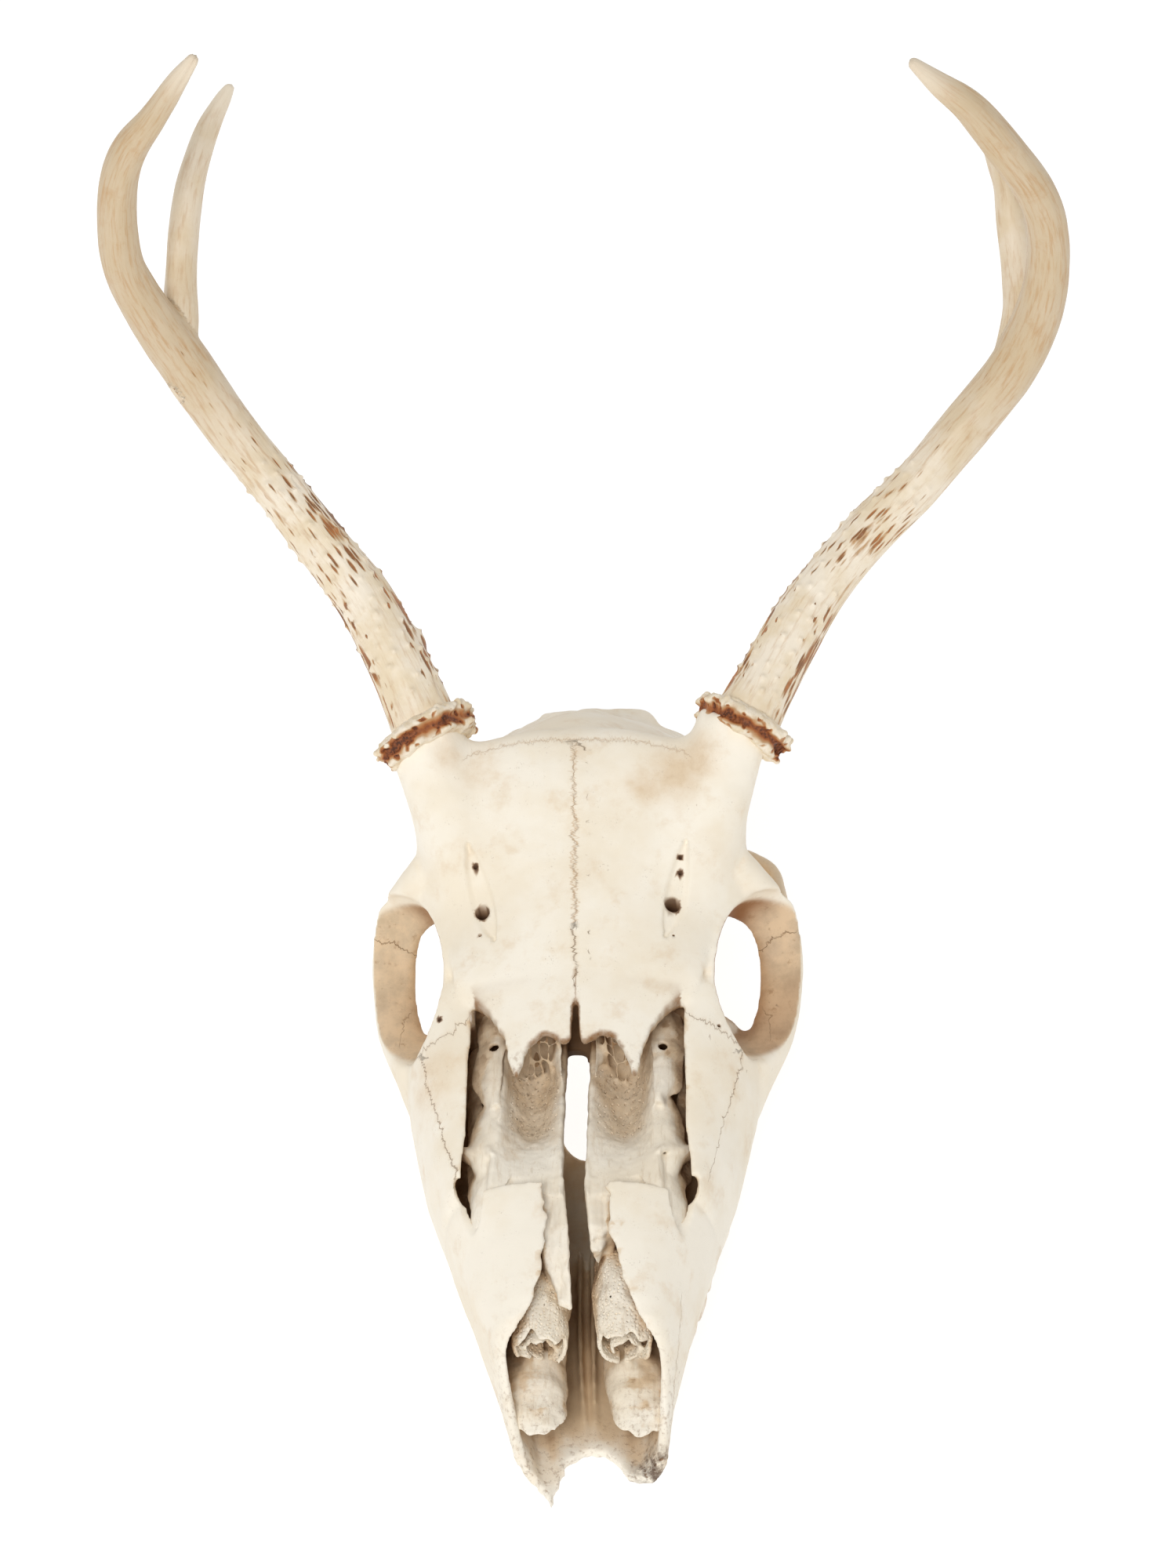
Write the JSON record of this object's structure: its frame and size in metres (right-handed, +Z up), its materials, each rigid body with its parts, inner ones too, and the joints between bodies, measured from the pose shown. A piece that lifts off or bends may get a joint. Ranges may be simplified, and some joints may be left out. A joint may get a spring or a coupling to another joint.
{
  "type": "deer skull",
  "caption": "Young white-tailed deer buck's skull with burrs and forked antlers, upper jaw only, lying on its cheek teeth.",
  "frame": {"origin": "middle of the bounding box at floor level, under the back of the skull", "axes": "+X to the animal's left, +Y from the nose towards the back of the head, +Z up from the floor"},
  "size_m": [0.2332, 0.303, 0.2411],
  "materials": {
    "bone": "dry ivory bone with fine pores, satin on the forehead",
    "nose_bone": "thin porous bone, matt, grey brown and cream",
    "burr": "knobbly antler base, reddish brown in the grooves",
    "antler": "beige antler with brown grooves near the burr, polished pale at the tips"
  },
  "bodies": {
    "root": {"braincase": "bone", "sphenoid": "bone", "frontal_left": "bone", "frontal_right": "bone", "eye_socket_left": "bone", "eye_socket_right": "bone", "maxilla_left": "bone", "maxilla_right": "bone", "upper_scroll_left": "nose_bone", "upper_scroll_right": "nose_bone", "lower_scroll_left": "nose_bone", "lower_scroll_right": "nose_bone", "burr_left": "burr", "burr_right": "burr", "beam_left": "antler", "beam_right": "antler", "branch_left": "antler", "branch_right": "antler", "tine_left": "antler", "tine_right": "antler"}
  },
  "joints": []
}
